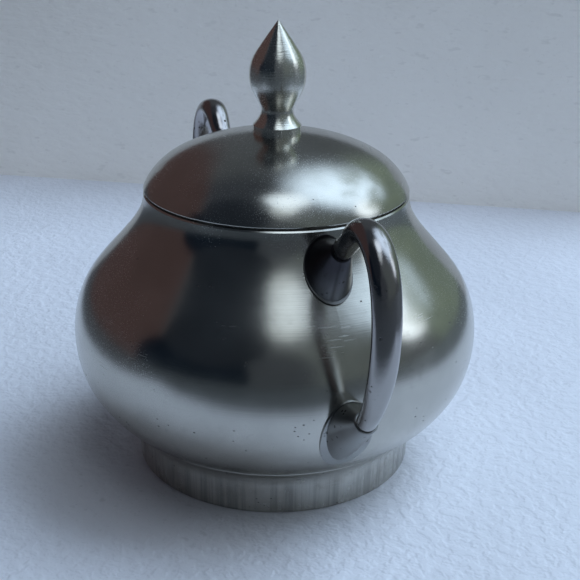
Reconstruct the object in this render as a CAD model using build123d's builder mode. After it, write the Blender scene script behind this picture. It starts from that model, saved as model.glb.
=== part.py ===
from build123d import *
import os
from math import radians, sin

# Lidded two-handled sugar bowl in spun and cast pewter.
# Millimetres. +Z is up, z = 0 is the surface that the foot stands on, the
# Z axis is the axis of the bowl, and the two handles stand along +X and -X.

os.makedirs("parts", exist_ok=True)

# the small break on a turned edge
edge_break = 0.3

# ---- bowl body: a spun shell, as (radius, height) pairs up its outside ----
rim_height = 66.05
rim_radius = 30.55
belly_radius = 47.5
belly_height = 33.1
body_bottom = 9.2
base_radius = 31.0
body_outline = [
    (base_radius, body_bottom),
    (34.5, 10.7),
    (37.6, 12.7),
    (40.2, 15.0),
    (42.6, 17.8),
    (45.2, 22.0),
    (47.0, 27.6),
    (belly_radius, belly_height),
    (46.8, 38.8),
    (44.5, 44.6),
    (41.0, 49.3),
    (36.9, 53.9),
    (33.4, 58.2),
    (31.1, 62.5),
    (rim_radius, rim_height),
]
wall = 1.3
# how far round the side, from 0 to 1, the inside of the wall is set out
wall_stations = (0.12, 0.22, 0.33, 0.45, 0.57, 0.7, 0.82, 0.92)

# ---- base disc: the floor of the bowl, soldered in ----
base_thickness = 1.4
base_dish_radius = 24.0
base_dish_rise = 0.8
base_middle_radius = 4.0
floor_height = body_bottom + base_thickness

# ---- foot ring ----
foot_radius = 33.0
foot_top_radius = 33.25
foot_wall = 1.7
foot_straight_height = 6.9
foot_lip_radius = 35.6
foot_lip_height = 11.2
foot_blank_height = 13.0
foot_edge_round = 0.4

# ---- mouth ring: a reinforcing ring inside the neck, which the lid sits on ----
mouth_bore_radius = 27.0
mouth_ring_radius = 29.3
mouth_ring_height = 3.4

# ---- lid ----
seam = 0.45
lid_edge_height = rim_height + seam
lid_edge_round = 0.4
land_radius = 5.7
lid_top = 79.2
lid_outline = [
    (30.5, lid_edge_height + lid_edge_round),
    (29.8, 68.3),
    (28.3, 70.4),
    (25.9, 72.7),
    (22.6, 74.7),
    (18.3, 76.5),
    (12.2, 78.15),
    (land_radius, lid_top),
]
lid_wall = 1.1
flange_thickness = 1.1
flange_radius = 29.2
spigot_radius = 26.7
spigot_wall = 1.1
spigot_depth = 4.5

# ---- finial and its screw ----
finial_base_radius = 5.5
finial_top = 104.3
finial_tip_flat = 0.15
finial_outline = [
    (finial_base_radius, 81.2),
    (4.15, 82.9),
    (3.65, 84.3),
    (4.15, 86.1),
    (5.4, 88.4),
    (6.2, 90.6),
    (6.37, 92.7),
    (5.8, 95.8),
    (4.3, 98.4),
    (2.5, 101.0),
    (0.7, 103.5),
]
screw_radius = 1.5
screw_clearance = 0.25
screw_length_in_finial = 7.0
screw_head_radius = 3.1
screw_head_height = 1.7
screw_head_round = 0.7
screw_slot_width = 0.8
screw_slot_depth = 0.8
washer_radius = 4.2
washer_thickness = 0.6

# ---- handles: centre line in the plane of the handle, as (reach, height) ----
handle_line = [
    (40.6, 64.8),
    (45.4, 68.9),
    (52.4, 73.1),
    (59.3, 70.2),
    (63.0, 62.8),
    (63.6, 53.3),
    (61.3, 43.0),
    (56.3, 34.2),
]
handle_upper_half_width = 3.25
handle_upper_half_thickness = 2.5
handle_lower_half_width = 2.85
handle_lower_half_thickness = 2.0
handle_stations = 14
handle_swell = 0.3
handle_upper_end_radius = 1.85
handle_lower_end_radius = 2.15
tenon_radius = 1.3
tenon_length = 3.0

# ---- sockets: cast cups between the bowl and the ends of the handles ----
upper_socket_top = (30.6, 64.9)
upper_socket_bottom = (38.3, 52.3)
upper_socket_half_width = 5.2
lower_socket_top = (47.4, 34.8)
lower_socket_bottom = (42.3, 17.3)
lower_socket_half_width = 5.8
socket_lip = 0.35
socket_mouth_break = 0.2
socket_root = 2.2
socket_edge = 0.5
socket_edge_step = 0.4


def body_curve():
    """The outside of the bowl's wall, from the base disc up to the rim."""
    return Spline(*body_outline)


def inset(curve, u, depth):
    """A point at parameter u of a curve, moved square to it into the metal."""
    place = curve @ u
    direction = curve % u
    return (place.X - depth * direction.Y, place.Y + depth * direction.X)


def finish(builder, name):
    """Label a finished piece and write it."""
    builder.part.label = name
    export_step(builder.part, f"parts/{name}.step")


def dish_curve(height):
    """A shallow arc from the base disc's flat rim, at the given height, to its flat middle."""
    return ThreePointArc(
        (base_dish_radius, height),
        ((base_dish_radius + base_middle_radius) / 2, height + 0.7 * base_dish_rise),
        (base_middle_radius, height + base_dish_rise),
    )


# Everything within the bowl's outer surface, which trims what is soldered to it.
with BuildPart() as bowl_form:
    with BuildSketch(Plane.XZ):
        with BuildLine():
            side = body_curve()
            Polyline(side @ 1, (0, rim_height), (0, body_bottom), side @ 0)
        make_face()
    revolve(axis=Axis.Z)

# The same form grown by the height of the edge round each socket's foot.
bowl_side = body_curve()
grown_points = [inset(bowl_side, u / 12, -socket_edge) for u in range(1, 13)]
with BuildPart() as thick_form:
    with BuildSketch(Plane.XZ):
        with BuildLine():
            grown = Spline(*grown_points)
            Polyline(grown @ 1, (0, rim_height), (0, body_bottom), grown @ 0)
        make_face()
    revolve(axis=Axis.Z)

# ---- bowl body ----
with BuildPart() as bowl_body:
    with BuildSketch(Plane.XZ):
        with BuildLine():
            outside = body_curve()
            floor_corner = (base_radius, floor_height)
            ring_seat = (mouth_ring_radius, rim_height - mouth_ring_height)
            inside_points = [inset(outside, u, wall) for u in wall_stations]
            Spline(floor_corner, *inside_points, ring_seat)
            Polyline(ring_seat, (mouth_ring_radius, rim_height), outside @ 1)
            Line(floor_corner, outside @ 0)
        make_face()
    revolve(axis=Axis.Z)
    rim_edges = edges().filter_by(GeomType.CIRCLE).group_by(Axis.Z)[-1]
    chamfer(rim_edges.sort_by(SortBy.RADIUS)[-1], length=edge_break)
finish(bowl_body, "bowl_body")

# ---- base disc, dished upwards in the middle ----
with BuildPart() as base_disc:
    with BuildSketch(Plane.XZ):
        with BuildLine():
            under = dish_curve(body_bottom)
            upper = dish_curve(floor_height)
            Polyline(under @ 0, (base_radius, body_bottom), (base_radius, floor_height), upper @ 0)
            Polyline(under @ 1, (0, under.position_at(1).Y), (0, upper.position_at(1).Y), upper @ 1)
        make_face()
    revolve(axis=Axis.Z)
finish(base_disc, "base_disc")

# ---- foot ring, whose flared lip fits the underside of the bowl ----
with BuildPart() as foot_ring:
    with BuildSketch(Plane.XZ):
        with BuildLine():
            skirt = Line((foot_radius, 0), (foot_top_radius, foot_straight_height))
            flare = TangentArc(skirt @ 1, (foot_lip_radius, foot_lip_height), tangent=(0, 1))
            Polyline(
                flare @ 1,
                (foot_lip_radius, foot_blank_height),
                (foot_radius - foot_wall, foot_blank_height),
                (foot_radius - foot_wall, 0),
                skirt @ 0,
            )
        make_face()
    revolve(axis=Axis.Z)
    fillet(edges().group_by(Axis.Z)[0], radius=foot_edge_round)
    add(bowl_form.part, mode=Mode.SUBTRACT)
finish(foot_ring, "foot_ring")

# ---- mouth ring ----
with BuildPart() as mouth_ring:
    with BuildSketch(Plane.XY.offset(rim_height - mouth_ring_height)):
        Circle(mouth_ring_radius)
        Circle(mouth_bore_radius, mode=Mode.SUBTRACT)
    extrude(amount=mouth_ring_height)
    chamfer(edges().filter_by(GeomType.CIRCLE).group_by(SortBy.RADIUS)[0], length=edge_break)
finish(mouth_ring, "mouth_ring")


def between(first, last, share):
    """The value that is the given share of the way from first to last."""
    return first + (last - first) * share


def handle_curve(side):
    """The centre line of a handle, from its upper end to its lower end."""
    return Spline(*[(side * reach, 0, height) for reach, height in handle_line])


def handle_end(side, u):
    """A plane across one end of a handle's centre line, facing away from its socket."""
    curve = handle_curve(side)
    direction = curve % u if u == 0 else -(curve % u)
    return Plane(origin=curve @ u, x_dir=(0, 1, 0), z_dir=direction)


def edge_band(middle, outward, half_width, half_height):
    """The upright edge all round a socket's foot, of one height above the bowl."""
    with BuildPart() as band:
        with BuildSketch(Plane(origin=middle, x_dir=(0, 1, 0), z_dir=outward)):
            Ellipse(half_width, half_height)
        extrude(amount=2 * socket_root, both=True)
        add(thick_form.part, mode=Mode.INTERSECT)
    return band.part


def socket(top, bottom, half_width, mouth_plane, mouth_radius, side):
    """A cast cup from an oval root on the bowl to a round mouth, bored for the tenon."""
    middle = Vector(side * (top[0] + bottom[0]) / 2, 0, (top[1] + bottom[1]) / 2)
    up_the_bowl = Vector(side * (top[0] - bottom[0]), 0, top[1] - bottom[1])
    half_height = up_the_bowl.length / 2
    # the cup starts a step inside the edge round its foot
    cup_half_width = half_width - socket_edge_step
    cup_half_height = half_height - socket_edge_step
    outward = Vector(0, side, 0).cross(up_the_bowl).normalized()
    # the cup's lines are run on into the bowl, which then trims them
    run_on = socket_root / (mouth_plane.origin - middle).dot(outward)
    root_plane = Plane(
        origin=middle + (middle - mouth_plane.origin) * run_on,
        x_dir=(0, 1, 0),
        z_dir=outward,
    )
    with BuildPart() as cup:
        with BuildSketch(root_plane):
            Ellipse(
                cup_half_width + (cup_half_width - mouth_radius) * run_on,
                cup_half_height + (cup_half_height - mouth_radius) * run_on,
            )
        with BuildSketch(mouth_plane):
            Circle(mouth_radius)
        loft(ruled=True)
        mouth_axis = Axis(mouth_plane.origin, mouth_plane.z_dir)
        chamfer(faces().sort_by(mouth_axis)[-1].edges(), length=socket_mouth_break)
        add(edge_band(middle, outward, half_width, half_height))
        with BuildSketch(mouth_plane):
            Circle(tenon_radius)
        extrude(amount=-tenon_length, mode=Mode.SUBTRACT)
        add(bowl_form.part, mode=Mode.SUBTRACT)
    return cup


def handle(side):
    """A cast loop handle of oval section, with a round tenon at each end."""
    curve = handle_curve(side)
    with BuildPart() as loop:
        for station in range(handle_stations + 1):
            u = station / handle_stations
            end_radius = handle_upper_end_radius if u < 0.5 else handle_lower_end_radius
            # the oval swells from the round at each end to its full size
            swell = sin(radians(90) * min(1, u / handle_swell, (1 - u) / handle_swell))
            half_width = between(handle_upper_half_width, handle_lower_half_width, u)
            half_thickness = between(handle_upper_half_thickness, handle_lower_half_thickness, u)
            with BuildSketch(Plane(origin=curve @ u, x_dir=(0, 1, 0), z_dir=curve % u)):
                Ellipse(
                    between(end_radius, half_width, swell),
                    between(end_radius, half_thickness, swell),
                )
        loft()
        for u in (0, 1):
            with BuildSketch(handle_end(side, u)):
                Circle(tenon_radius)
            extrude(amount=-tenon_length)
    return loop


for side_name, side in (("right", 1), ("left", -1)):
    upper_socket = socket(
        upper_socket_top,
        upper_socket_bottom,
        upper_socket_half_width,
        handle_end(side, 0),
        handle_upper_end_radius + socket_lip,
        side,
    )
    finish(upper_socket, f"upper_socket_{side_name}")
    lower_socket = socket(
        lower_socket_top,
        lower_socket_bottom,
        lower_socket_half_width,
        handle_end(side, 1),
        handle_lower_end_radius + socket_lip,
        side,
    )
    finish(lower_socket, f"lower_socket_{side_name}")
    finish(handle(side), f"handle_{side_name}")

# ---- lid dome: a spun shell with a flat land for the finial ----
bore = screw_radius + screw_clearance
with BuildPart() as lid_dome:
    with BuildSketch(Plane.XZ):
        with BuildLine():
            crown = Spline(*lid_outline)
            edge = TangentArc(crown @ 0, (crown @ 0) - (lid_edge_round, lid_edge_round), tangent=(0, -1))
            under_crown = Spline(
                (flange_radius, rim_height + flange_thickness),
                *[inset(crown, u, lid_wall) for u in (0.2, 0.35, 0.5, 0.65, 0.8)],
                (land_radius, lid_top - lid_wall),
            )
            Polyline(crown @ 1, (bore, lid_top), (bore, lid_top - lid_wall), under_crown @ 1)
            Polyline(under_crown @ 0, (flange_radius, lid_edge_height), edge @ 1)
        make_face()
    revolve(axis=Axis.Z)
finish(lid_dome, "lid_dome")

# ---- lid flange: seats on the mouth ring, with a spigot inside its bore ----
with BuildPart() as lid_flange:
    with BuildSketch(Plane.XY.offset(rim_height)):
        Circle(flange_radius)
    extrude(amount=flange_thickness)
    with BuildSketch(Plane.XY.offset(rim_height - spigot_depth)):
        Circle(spigot_radius)
    extrude(amount=spigot_depth)
    with BuildSketch(Plane.XY.offset(rim_height - spigot_depth)):
        Circle(spigot_radius - spigot_wall)
    extrude(amount=spigot_depth + flange_thickness, mode=Mode.SUBTRACT)
    chamfer(edges().group_by(Axis.Z)[0], length=edge_break)
finish(lid_flange, "lid_flange")

# ---- finial: a turned bud on a waisted stem ----
with BuildPart() as finial:
    with BuildSketch(Plane.XZ):
        with BuildLine():
            edge = Line((finial_base_radius, lid_top), finial_outline[0])
            stem = Spline(*finial_outline)
            tip = TangentArc(stem @ 1, (finial_tip_flat, finial_top), tangent=stem % 1)
            Polyline(
                tip @ 1,
                (0, finial_top),
                (0, lid_top + screw_length_in_finial),
                (screw_radius, lid_top + screw_length_in_finial),
                (screw_radius, lid_top),
                edge @ 0,
            )
        make_face()
    revolve(axis=Axis.Z)
finish(finial, "finial")

# ---- washer and slotted screw that hold the finial, from inside the lid ----
washer_top = lid_top - lid_wall
with BuildPart() as finial_washer:
    with BuildSketch(Plane.XY.offset(washer_top - washer_thickness)):
        Circle(washer_radius)
        Circle(bore, mode=Mode.SUBTRACT)
    extrude(amount=washer_thickness)
finish(finial_washer, "finial_washer")

head_top = washer_top - washer_thickness
with BuildPart() as finial_screw:
    with BuildSketch(Plane.XY.offset(head_top - screw_head_height)):
        Circle(screw_head_radius)
    extrude(amount=screw_head_height)
    fillet(edges().group_by(Axis.Z)[0], radius=screw_head_round)
    with BuildSketch(Plane.XY.offset(head_top)):
        Circle(screw_radius)
    extrude(amount=lid_top + screw_length_in_finial - head_top)
    with BuildSketch(Plane.XY.offset(head_top - screw_head_height)):
        Rectangle(3 * screw_head_radius, screw_slot_width)
    extrude(amount=screw_slot_depth, mode=Mode.SUBTRACT)
finish(finial_screw, "finial_screw")
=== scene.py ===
import math

import bpy
from mathutils import Matrix, Vector

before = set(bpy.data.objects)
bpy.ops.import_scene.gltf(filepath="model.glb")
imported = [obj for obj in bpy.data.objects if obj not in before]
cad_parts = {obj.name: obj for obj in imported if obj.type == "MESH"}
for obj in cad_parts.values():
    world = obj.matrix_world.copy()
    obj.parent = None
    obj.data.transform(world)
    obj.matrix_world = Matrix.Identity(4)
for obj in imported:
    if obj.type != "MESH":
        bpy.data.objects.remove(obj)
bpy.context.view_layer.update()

# ---------------------------------------------------------------- driving values
# The camera's place: azimuth from -Y towards +X, and its pitch, yaw and roll.
CAMERA_AZIMUTH = math.radians(71.0)
CAMERA_REACH = 0.2567
CAMERA_HEIGHT = 0.1445
CAMERA_PITCH = math.radians(21.98)
CAMERA_YAW = math.radians(0.775)
CAMERA_ROLL = math.radians(0.9)
CAMERA_LENS = 72.0
CAMERA_SENSOR = 36.0

# The floor: half its side, its paint and the size of its lumps. Beside the bowl and towards the viewer
# a painted shade darkens the floor between these two distances from the bowl's axis.
FLOOR_HALF = 3.0
FLOOR_PAINT = (0.81, 0.81, 0.87)
FLOOR_LUMP = 0.0030
FLOOR_PAINTED_SHADE = (0.11, 0.113, 0.118)
PAINTED_SHADE_TO_THE_SIDE = (0.13, 0.20)
PAINTED_SHADE_TO_THE_FRONT = (0.08, 0.135)

# The board behind the bowl: its place and size, its turn, its paint and a faint painted glow that
# brightens it, though it is no lamp.
WALL_DISTANCE = 0.2105
WALL_HEIGHT = 0.12
WALL_HALF_WIDTH = 0.17
WALL_TURN = math.radians(10.2)
WALL_PAINT = (0.88, 0.87, 0.84)
WALL_LUMP = 0.0060
WALL_STRETCH = (1, 1, 2.6)
WALL_GLOW = 0.15
GLOW_COLOUR = (0.80, 0.86, 0.96)

# What the metal mirrors: round patches of one colour, each laid over those before it, given as
# azimuth from the camera's side of the bowl, elevation, inner angle, outer angle and colour.
ROOM_COLOUR = (0.09, 0.105, 0.12)
ROOM_PATCHES = [
    (-70, 75, 20, 40, (0.045, 0.055, 0.07)),  # dim ceiling
    (-118, 5, 46, 53, (0.075, 0.052, 0.054)),  # brown side of the room
    (38, 12, 28, 42, (0.12, 0.145, 0.15)),  # paler front right
    (0, 12, 16, 30, (0.060, 0.072, 0.088)),  # where the viewer stands
    (-47, 6, 32, 35, (0.004, 0.009, 0.018)),  # near-black front left
    (-40, 42, 26, 29, (0.018, 0.024, 0.034)),  # dark above it
    (128, 16, 22, 36, (0.19, 0.25, 0.22)),  # green side
    (10, 59, 1, 12, (0.85, 0.98, 1.05)),  # small window in front, its lower part
    (27, 74, 5, 18, (1.60, 1.90, 2.20)),  # small window overhead
    (112, 54, 13, 36, (1.45, 1.85, 2.30)),  # tall window to the right
    (91, 27, 3, 15, (2.00, 2.30, 2.60)),  # its lower end
]
LEAVES_AIM = (122, 34)
LEAVES_COLOUR = (0.24, 0.31, 0.24)

# The lamp that lights floor and board from the tall window's side.
DAYLIGHT_AIM = (108, 54)
DAYLIGHT_DISTANCE = 1.0
DAYLIGHT_SIZE = 0.7
DAYLIGHT_POWER = 5.6
DAYLIGHT_COLOUR = (0.60, 0.78, 1.0)

# Metals: the pewters' own colours, those of what lies on them, and painted shade on the sockets and in
# creases.
SPUN = (0.58, 0.565, 0.52)
DULL = (0.40, 0.40, 0.385)
TURNED = (0.76, 0.74, 0.67)
STEEL = (0.52, 0.52, 0.53)
HANDLE_LOW = (0.37, 0.36, 0.35)
HANDLE_HIGH = (0.38, 0.36, 0.36)
# the sockets' colours paint light and shade: lighter low, where they mirror the lit floor, and darker
# high, where they mirror the dark room
SOCKET_LOW_PAINTED_LIGHTER = (0.36, 0.36, 0.35)
SOCKET_HIGH_PAINTED_DARKER = (0.055, 0.053, 0.060)
RUBBED = (0.30, 0.29, 0.28)
WORN_GREY = (0.20, 0.195, 0.19)
TARNISH_BROWN = (0.22, 0.175, 0.13)
SPUN_PIT = (0.17, 0.165, 0.16)
CAST_PIT = (0.06, 0.055, 0.05)
SCRATCH = (0.75, 0.77, 0.79)
DUST = (0.66, 0.68, 0.70)
# painted shade laid into the creases where pieces meet
CREASE_PAINTED_SHADE = (0.03, 0.03, 0.032)

# Heights between which streaks end on the foot, pits thin out on the belly, and the cast pieces change
# from their low colour to their high one; on the sockets this change is painted light and shade.
STREAKS_END = (0.0055, 0.0100)
LOW_BELLY = (0.026, 0.040)
CAST_PAINTED_SHADE_CHANGE = (0.044, 0.062)
# how far the painted crease shade reaches from a neighbouring piece
CREASE_SHADE_REACH = 0.0012

# How fine each texture is, in steps per metre, and how deep each surface's relief is, in metres.
BOARD_BROAD_SCALE = 14.0
FINE_TURNING_SCALE = 3200.0
BROAD_TURNING_SCALE = 420.0
CLOUD_SCALE = 60.0
MOTTLE_SCALE = 420.0
DUST_SCALE = 4300.0
DUST_AREA_SCALE = 30.0
PIT_SCALE = 520.0
PIT_AREA_SCALE = 170.0
SCRATCH_SCALES = (170, 170, 4200)
SCRATCH_AREA_SCALE = 55.0
TARNISH_SCALE = 70.0
CAST_SKIN_SCALE = 260.0
CAST_PATCH_SCALE = 95.0
CAST_PIT_SCALE = 620.0
CAST_PIT_AREA_SCALE = 210.0
BOARD_RELIEF = 0.0005
SPUN_RELIEF = 0.00012
CAST_RELIEF = 0.0002


# ---------------------------------------------------------------- node helpers
class Nodes:
    """A short way to build a material's or a world's node tree."""

    def __init__(self, tree):
        self.tree = tree
        tree.nodes.clear()

    def add(self, kind, inputs=None, **settings):
        node = self.tree.nodes.new("ShaderNode" + kind)
        for key, value in settings.items():
            setattr(node, key, value)
        for key, value in (inputs or {}).items():
            self.put(node.inputs[key], value)
        return node

    def put(self, socket, value):
        if isinstance(value, bpy.types.NodeSocket):
            self.tree.links.new(value, socket)
        elif isinstance(value, bpy.types.Node):
            self.tree.links.new(value.outputs[0], socket)
        else:
            socket.default_value = value

    def math(self, operation, *values):
        node = self.add("Math", operation=operation)
        for socket, value in zip(node.inputs, values):
            self.put(socket, value)
        return node.outputs[0]

    def ramp(self, value, low, high):
        """0 below low, 1 above high, and smooth between them."""
        node = self.add("MapRange", interpolation_type="SMOOTHSTEP")
        self.put(node.inputs["Value"], value)
        self.put(node.inputs["From Min"], low)
        self.put(node.inputs["From Max"], high)
        return node.outputs["Result"]

    def mix(self, factor, first, second):
        node = self.add("Mix", data_type="RGBA")
        self.put(node.inputs[0], factor)
        self.put(node.inputs[6], first)
        self.put(node.inputs[7], second)
        return node.outputs[2]

    def scaled(self, vector, scale):
        node = self.add("Mapping")
        self.put(node.inputs["Vector"], vector)
        node.inputs["Scale"].default_value = scale
        return node.outputs["Vector"]

    def noise(self, vector, scale, detail=3.0, roughness=0.5):
        node = self.add("TexNoise", {"Scale": scale, "Detail": detail, "Roughness": roughness})
        self.put(node.inputs["Vector"], vector)
        return node.outputs[0]


def opaque(colour, strength=1.0):
    """A colour with its alpha, darkened by strength."""
    return [strength * part for part in colour] + [1]


def material(name):
    made = bpy.data.materials.new(name)
    made.use_nodes = True
    return made, Nodes(made.node_tree)


def dress(node_names, made):
    for name in node_names:
        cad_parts[name].material_slots[0].material = made


# ---------------------------------------------------------------- camera
def build_camera():
    data = bpy.data.cameras.new("camera")
    data.lens = CAMERA_LENS
    data.sensor_width = CAMERA_SENSOR
    data.clip_start = 0.01
    data.clip_end = 20.0
    camera = bpy.data.objects.new("camera", data)
    bpy.context.scene.collection.objects.link(camera)
    away = Vector((math.sin(CAMERA_AZIMUTH), -math.cos(CAMERA_AZIMUTH), 0))
    across = Vector((math.cos(CAMERA_AZIMUTH), math.sin(CAMERA_AZIMUTH), 0))
    level = -away * math.cos(CAMERA_YAW) + across * math.sin(CAMERA_YAW)
    right = across * math.cos(CAMERA_YAW) + away * math.sin(CAMERA_YAW)
    forward = level * math.cos(CAMERA_PITCH) - Vector((0, 0, math.sin(CAMERA_PITCH)))
    up = right.cross(forward)
    rolled_right = right * math.cos(CAMERA_ROLL) + up * math.sin(CAMERA_ROLL)
    rolled_up = up * math.cos(CAMERA_ROLL) - right * math.sin(CAMERA_ROLL)
    turn = Matrix((rolled_right, rolled_up, -forward)).transposed()
    place = away * CAMERA_REACH + Vector((0, 0, CAMERA_HEIGHT))
    camera.matrix_world = Matrix.Translation(place) @ turn.to_4x4()
    bpy.context.scene.camera = camera
    return away, across


away, across = build_camera()


def aim(azimuth, elevation):
    """A direction by its angles in degrees, azimuth 0 being the camera's side of the bowl."""
    a, e = math.radians(azimuth), math.radians(elevation)
    level = away * math.cos(a) + across * math.sin(a)
    return level * math.cos(e) + Vector((0, 0, math.sin(e)))


# ---------------------------------------------------------------- stage
def stage_plane(name, corners, made):
    mesh = bpy.data.meshes.new(name)
    mesh.from_pydata(corners, [], [(0, 1, 2, 3)])
    piece = bpy.data.objects.new(name, mesh)
    bpy.context.scene.collection.objects.link(piece)
    mesh.materials.append(made)


def dot_product(n, vector, direction):
    """How far a vector goes along a direction; for two unit vectors, the cosine between them."""
    node = n.add("VectorMath", operation="DOT_PRODUCT")
    n.put(node.inputs[0], vector)
    node.inputs[1].default_value = direction
    return node.outputs["Value"]


def pale_board(name, colour, lump_size, stretch, fading=False, one_sided=False, glow=0.0):
    """A pale painted board with a lumpy, slightly dusty surface."""
    made, n = material(name)
    place = n.add("TexCoord").outputs["Object"]
    grain_place = n.scaled(place, stretch)
    lumps = n.noise(grain_place, 1 / lump_size, 2.0)
    grain = n.noise(grain_place, 5 / lump_size, 3.0)
    broad = n.noise(place, BOARD_BROAD_SCALE, 3.0)
    height = n.math("ADD", n.math("MULTIPLY", grain, 0.35), n.ramp(lumps, 0.40, 0.62))
    bump = n.add("Bump", {"Strength": 0.35, "Distance": BOARD_RELIEF, "Height": height})
    shade = n.mix(n.ramp(broad, 0.3, 0.7), opaque(colour, 0.92), opaque(colour))
    shade = n.mix(n.ramp(lumps, 0.26, 0.38), opaque(colour, 0.86), shade)
    if fading:
        # painted shade: the floor darkens to both sides and towards the viewer
        to_the_side = n.ramp(n.math("ABSOLUTE", dot_product(n, place, across)), *PAINTED_SHADE_TO_THE_SIDE)
        to_the_front = n.ramp(dot_product(n, place, away), *PAINTED_SHADE_TO_THE_FRONT)
        painted_shade = n.math("MAXIMUM", to_the_side, to_the_front)
        shade = n.mix(painted_shade, shade, opaque(FLOOR_PAINTED_SHADE))
    glint = n.ramp(n.noise(place, 4 / lump_size, 1.0), 0.66, 0.71)
    rough = n.math("SUBTRACT", 0.60, n.math("MULTIPLY", glint, 0.4))
    surface = n.add("BsdfPrincipled", {"Base Color": shade, "Roughness": rough, "Normal": bump})
    # painted light: the board glows faintly so that it looks more brightly lit
    surface.inputs["Emission Color"].default_value = opaque(GLOW_COLOUR)
    surface.inputs["Emission Strength"].default_value = glow
    if one_sided:
        # from behind, the board is left out, so that it never hides the bowl
        behind = n.add("NewGeometry").outputs["Backfacing"]
        clear = n.add("BsdfTransparent")
        surface = n.add("MixShader", {0: behind, 1: surface.outputs[0], 2: clear.outputs[0]})
    n.add("OutputMaterial", {"Surface": surface})
    return made


def build_stage():
    half = FLOOR_HALF
    floor_paint_and_shade = pale_board("floor_paint_and_shade", FLOOR_PAINT, FLOOR_LUMP, (1, 1, 1), fading=True)
    corners = [(-half, -half, 0), (half, -half, 0), (half, half, 0), (-half, half, 0)]
    stage_plane("floor", corners, floor_paint_and_shade)
    wall_paint = pale_board(
        "wall_paint", WALL_PAINT, WALL_LUMP, WALL_STRETCH, one_sided=True, glow=WALL_GLOW
    )
    base = -away * WALL_DISTANCE
    side = (across * math.cos(WALL_TURN) + away * math.sin(WALL_TURN)) * WALL_HALF_WIDTH
    up = Vector((0, 0, WALL_HEIGHT))
    corners = [base - side, base + side, base + side + up, base - side + up]
    stage_plane("wall", corners, wall_paint)


build_stage()


# ---------------------------------------------------------------- light
def build_world():
    world = bpy.data.worlds.new("studio")
    bpy.context.scene.world = world
    world.use_nodes = True
    n = Nodes(world.node_tree)
    direction = n.add("TexCoord").outputs["Generated"]

    def towards(azimuth, elevation):
        """The cosine between a direction of view and an aim."""
        return dot_product(n, direction, aim(azimuth, elevation))

    colour = opaque(ROOM_COLOUR)
    for azimuth, elevation, inner, outer, patch_colour in ROOM_PATCHES:
        # full within the inner angle and gone at the outer one
        low, high = math.cos(math.radians(outer)), math.cos(math.radians(inner))
        shown = n.ramp(towards(azimuth, elevation), low, high)
        colour = n.mix(shown, colour, opaque(patch_colour))
    # leaves seen through the windows
    leaves = n.add("TexNoise", {"Scale": 5.0, "Detail": 4.0, "Roughness": 0.65})
    n.put(leaves.inputs["Vector"], direction)
    where = n.ramp(towards(*LEAVES_AIM), 0.80, 0.97)
    lit = n.math("MULTIPLY", where, n.ramp(leaves.outputs[0], 0.44, 0.60))
    colour = n.mix(n.math("MULTIPLY", lit, 0.8), colour, opaque(LEAVES_COLOUR))
    background = n.add("Background", {"Color": colour, "Strength": 1.0})
    n.add("OutputWorld", {"Surface": background})


def build_daylight():
    """The window's light on floor and board; the metal mirrors the world's window instead."""
    data = bpy.data.lights.new("daylight", "AREA")
    data.shape = "DISK"
    data.size = DAYLIGHT_SIZE
    data.energy = DAYLIGHT_POWER
    data.color = DAYLIGHT_COLOUR
    lamp = bpy.data.objects.new("daylight", data)
    bpy.context.scene.collection.objects.link(lamp)
    outwards = aim(*DAYLIGHT_AIM)
    lamp.location = outwards * DAYLIGHT_DISTANCE
    lamp.rotation_mode = "QUATERNION"
    lamp.rotation_quaternion = outwards.to_track_quat("Z", "Y")
    lamp.visible_glossy = False


build_world()
build_daylight()
bpy.context.scene.view_settings.view_transform = "Standard"


# ---------------------------------------------------------------- metals
def round_place(n, place, along, around):
    """Places on a turned surface: fine across the turning lines, and slow around the axis."""
    flat = n.add("VectorMath", operation="LENGTH")
    n.put(flat.inputs[0], n.scaled(place, (1, 1, 0)))
    split = n.add("SeparateXYZ", {"Vector": place})
    angle = n.math("ARCTAN2", split.outputs["Y"], split.outputs["X"])
    joined = n.add("CombineXYZ")
    n.put(joined.inputs["X"], n.math("MULTIPLY", flat.outputs["Value"], along))
    n.put(joined.inputs["Y"], n.math("MULTIPLY", split.outputs["Z"], along))
    n.put(joined.inputs["Z"], n.math("MULTIPLY", angle, around))
    return joined.outputs["Vector"]


def scratch_mask(n, place, turn, seed):
    """Thin, short, straight scratches that lie one way."""
    shift = n.add("Mapping", {"Vector": place})
    shift.inputs["Location"].default_value = (seed, seed, seed)
    shift.inputs["Rotation"].default_value = turn
    shift.inputs["Scale"].default_value = SCRATCH_SCALES
    lines = n.ramp(n.noise(shift.outputs["Vector"], 1.0, 0.0), 0.71, 0.76)
    where = n.ramp(n.noise(place, SCRATCH_AREA_SCALE + seed, 2.0), 0.56, 0.66)
    return n.math("MULTIPLY", lines, where)


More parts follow.
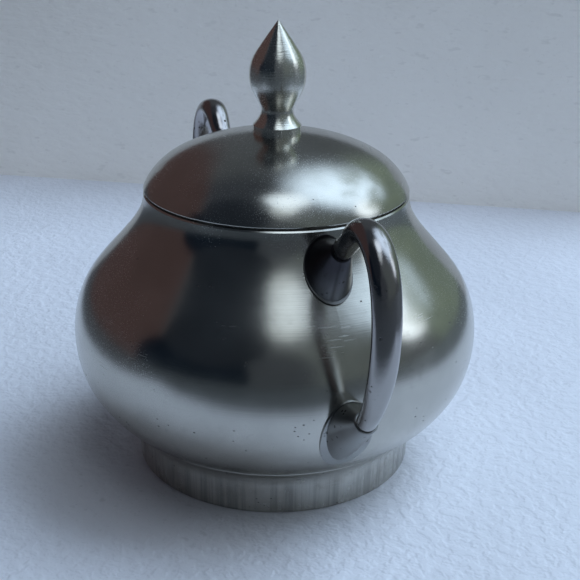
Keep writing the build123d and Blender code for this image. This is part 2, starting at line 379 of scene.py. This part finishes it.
def spun_metal(name, colour, roughness, turning=0.10, brushing=0.7, streaks=0.0, pitting=0.5):
    """Satin turned pewter: turning marks, dust, fine scratches, small pits and, on a foot, streaks."""
    made, n = material(name)
    place = n.add("TexCoord").outputs["Object"]
    height_here = n.add("SeparateXYZ", {"Vector": place}).outputs["Z"]
    rings = n.noise(round_place(n, place, FINE_TURNING_SCALE, 1.5), 1.0, 2.0)
    broad_rings = n.noise(round_place(n, place, BROAD_TURNING_SCALE, 0.8), 1.0, 2.0)
    cloud = n.noise(place, CLOUD_SCALE, 5.0)
    mottle = n.noise(place, MOTTLE_SCALE, 4.0)
    dust = n.ramp(n.noise(place, DUST_SCALE, 1.0), 0.61, 0.73)
    dusty = n.ramp(n.noise(place, DUST_AREA_SCALE, 2.0), 0.38, 0.62)
    dust = n.math("MULTIPLY", dust, dusty)
    cells = n.add("TexVoronoi", {"Vector": n.scaled(place, (1, 1, 1.7)), "Scale": PIT_SCALE})
    pits = n.math("SUBTRACT", 1.0, n.ramp(cells.outputs["Distance"], 0.08, 0.18))
    low_down = n.math("SUBTRACT", 1.0, n.ramp(height_here, *LOW_BELLY))
    pit_level = n.math("SUBTRACT", 0.67 - 0.1 * pitting, n.math("MULTIPLY", low_down, 0.09))
    pitted = n.math("SUBTRACT", n.noise(place, PIT_AREA_SCALE, 2.0), pit_level)
    pits = n.math("MULTIPLY", pits, n.ramp(pitted, 0.0, 0.05))
    scratches = n.math(
        "MAXIMUM",
        scratch_mask(n, place, (0.55, 0.25, 0.0), 3.0),
        scratch_mask(n, place, (-0.35, 0.75, 0.0), 11.0),
    )

    shade = n.mix(n.ramp(cloud, 0.32, 0.62), opaque(colour, 0.84), opaque(colour))
    shade = n.mix(n.ramp(mottle, 0.58, 0.74), shade, opaque(colour, 0.88))
    rough = n.math("ADD", n.math("MULTIPLY", cloud, 0.10), roughness - 0.05)
    rough = n.math("ADD", n.math("MULTIPLY", broad_rings, 0.05), rough)
    height = n.math("ADD", n.math("MULTIPLY", rings, 0.5), n.math("MULTIPLY", mottle, 0.5))
    if streaks:
        # they die out towards the flared lip of the foot
        fading = n.math("SUBTRACT", 1.0, n.ramp(height_here, *STREAKS_END))
        down = n.noise(round_place(n, place, 20.0, 22.0), 1.0, 5.0, 0.6)
        tarnish = n.ramp(n.noise(place, TARNISH_SCALE, 4.0), 0.48, 0.70)
        worn_most = n.math("MULTIPLY", fading, 0.5 * streaks)
        worn = n.math("MULTIPLY", n.ramp(down, 0.42, 0.66), worn_most)
        shade = n.mix(worn, shade, opaque(WORN_GREY))
        browned = n.math("MULTIPLY", tarnish, n.math("MULTIPLY", fading, 0.45 * streaks))
        shade = n.mix(browned, shade, opaque(TARNISH_BROWN))
        height = n.math("ADD", height, n.math("MULTIPLY", down, n.math("MULTIPLY", fading, 2.5)))
        rough = n.math("ADD", rough, n.math("MULTIPLY", worn, 0.15))
    shade = n.mix(pits, shade, opaque(SPUN_PIT))
    shade = n.mix(n.math("MULTIPLY", scratches, 0.22), shade, opaque(SCRATCH))
    shade = n.mix(n.math("MULTIPLY", dust, 0.55), shade, opaque(DUST))
    marks = n.math("MAXIMUM", n.math("MULTIPLY", dust, 0.7), n.math("MULTIPLY", scratches, 0.5))
    spoil = n.math("MAXIMUM", marks, pits)
    rough = n.math("ADD", rough, n.math("MULTIPLY", spoil, 0.28))
    height = n.math("SUBTRACT", height, n.math("MULTIPLY", pits, 2.0))
    bump = n.add("Bump", {"Strength": turning, "Distance": SPUN_RELIEF, "Height": height})
    tangent = n.add("Tangent", direction_type="RADIAL", axis="Z")
    surface = n.add(
        "BsdfPrincipled",
        {
            "Base Color": shade,
            "Metallic": 1.0,
            "Roughness": rough,
            "Anisotropic": brushing,
            "Anisotropic Rotation": 0.25,
            "Tangent": tangent,
            "Normal": bump,
        },
    )
    n.add("OutputMaterial", {"Surface": surface})
    return made


def cast_metal(name, low_colour, high_colour, roughness, pitting):
    """Cast pewter with one colour low on the bowl and another high up, pits, and painted shade in
    creases.
    """
    made, n = material(name)
    place = n.add("TexCoord").outputs["Object"]
    height_here = n.add("SeparateXYZ", {"Vector": place}).outputs["Z"]
    skin = n.noise(place, CAST_SKIN_SCALE, 5.0, 0.6)
    patches = n.noise(place, CAST_PATCH_SCALE, 3.0)
    cells = n.add("TexVoronoi", {"Vector": place, "Scale": CAST_PIT_SCALE})
    pits = n.math("SUBTRACT", 1.0, n.ramp(cells.outputs["Distance"], 0.14, 0.24))
    pitted = n.ramp(n.noise(place, CAST_PIT_AREA_SCALE, 2.0), 0.60 - 0.2 * pitting, 0.66)
    pits = n.math("MULTIPLY", pits, pitted)
    # painted light and shade by height: on the sockets the low colour is lighter and the high colour
    # darker, standing in for the floor and the dark room they mirror
    shade = n.mix(n.ramp(height_here, *CAST_PAINTED_SHADE_CHANGE), opaque(low_colour), opaque(high_colour))
    rubbed = n.math("MULTIPLY", n.ramp(patches, 0.50, 0.75), 0.6)
    shade = n.mix(rubbed, shade, opaque(RUBBED))
    shade = n.mix(pits, shade, opaque(CAST_PIT))
    # painted shade: darker where a piece meets its neighbour
    nearness = n.add("AmbientOcclusion", {"Distance": CREASE_SHADE_REACH}, samples=6)
    crease = n.math("SUBTRACT", 1.0, n.ramp(nearness.outputs["AO"], 0.35, 0.80))
    shade = n.mix(n.math("MULTIPLY", crease, 0.8), shade, opaque(CREASE_PAINTED_SHADE))
    rough = n.math("ADD", n.math("MULTIPLY", skin, 0.16), roughness - 0.08)
    rough = n.math("ADD", rough, n.math("MULTIPLY", pits, 0.3))
    relief = n.math("SUBTRACT", skin, n.math("MULTIPLY", pits, 1.0))
    bump = n.add("Bump", {"Strength": 0.25, "Distance": CAST_RELIEF, "Height": relief})
    surface = n.add(
        "BsdfPrincipled",
        {"Base Color": shade, "Metallic": 1.0, "Roughness": rough, "Normal": bump},
    )
    n.add("OutputMaterial", {"Surface": surface})
    return made


spun = spun_metal("spun_pewter", SPUN, 0.175, brushing=0.65)
foot = spun_metal("foot_pewter", SPUN, 0.25, brushing=0.5, streaks=1.0)
inside = spun_metal("inside_pewter", DULL, 0.42, brushing=0.3, pitting=1.0)
turned = spun_metal("turned_pewter", TURNED, 0.19, turning=0.7, brushing=0.93, pitting=0.0)
steel = spun_metal("screw_steel", STEEL, 0.30, pitting=0.0)
handle_metal = cast_metal("handle_pewter", HANDLE_LOW, HANDLE_HIGH, 0.18, 0.4)
socket_metal = cast_metal("socket_pewter", SOCKET_LOW_PAINTED_LIGHTER, SOCKET_HIGH_PAINTED_DARKER, 0.33, 1.0)
sockets = [f"{end}_socket_{side}" for end in ("upper", "lower") for side in ("right", "left")]
dress(["bowl_body", "lid_dome"], spun)
dress(["foot_ring"], foot)
dress(["base_disc", "mouth_ring", "lid_flange"], inside)
dress(["finial"], turned)
dress(["finial_washer", "finial_screw"], steel)
dress(["handle_right", "handle_left"], handle_metal)
dress(sockets, socket_metal)
